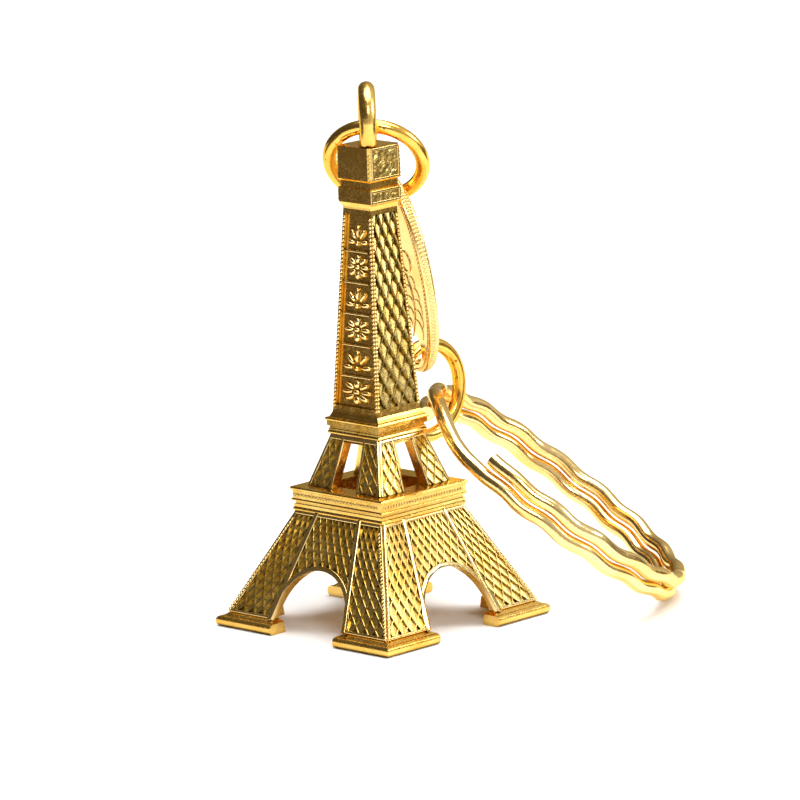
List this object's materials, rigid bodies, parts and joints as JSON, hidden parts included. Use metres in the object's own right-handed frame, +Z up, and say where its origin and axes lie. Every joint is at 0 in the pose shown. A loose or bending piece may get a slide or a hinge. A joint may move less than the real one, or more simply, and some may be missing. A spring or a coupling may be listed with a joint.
{
  "type": "tower key ring",
  "caption": "Gold plated lattice tower on four arched feet with a loop at its top, carrying a jump ring, an oval name plate, a second jump ring and a wavy split ring for keys.",
  "frame": {"origin": "centre of the underside of the four feet, on the tower axis", "axes": "Z up along the tower, X and Y square to its faces; the chain hangs behind and to the right of the corner between +X and +Y, the name-plate face of the shaft looks along -Y"},
  "size_m": [0.0324, 0.0405, 0.0508],
  "materials": {
    "tower_gold": "gold plated casting, bright on ribs and darker in the relief",
    "ring_gold": "gold plated wire, polished with light wear",
    "plate_gold": "gold plated, satin face and bright rim",
    "key_ring_gold": "pale gold plated spring wire, polished"
  },
  "bodies": {
    "tower_casting": {"tower_casting": "tower_gold"},
    "upper_jump_ring": {"upper_jump_ring": "ring_gold"},
    "oval_plate": {"oval_plate": "plate_gold"},
    "lower_jump_ring": {"lower_jump_ring": "ring_gold"},
    "split_key_ring": {"split_key_ring": "key_ring_gold"}
  },
  "joints": [
    {"name": "loop_swing", "type": "hinge", "parent": "tower_casting", "child": "upper_jump_ring", "pos_m": [-0.00002, 0.00002, 0.04664], "axis": [0.8498, 0.5237, 0.0591], "range_deg": [0, 45]},
    {"name": "plate_swing", "type": "hinge", "parent": "upper_jump_ring", "child": "oval_plate", "pos_m": [-0.00162, 0.00445, 0.03934], "axis": [0.8723, 0.4614, 0.1617], "range_deg": [0, 30]},
    {"name": "lower_ring_swing", "type": "hinge", "parent": "oval_plate", "child": "lower_jump_ring", "pos_m": [-0.00159, 0.00739, 0.02436], "axis": [0.002, -0.9563, -0.2924], "range_deg": [-10, 20]},
    {"name": "split_ring_swing", "type": "hinge", "parent": "lower_jump_ring", "child": "split_key_ring", "pos_m": [-0.00042, 0.00771, 0.01932], "axis": [0.7071, -0.7071, 0], "range_deg": [0, 35]}
  ]
}
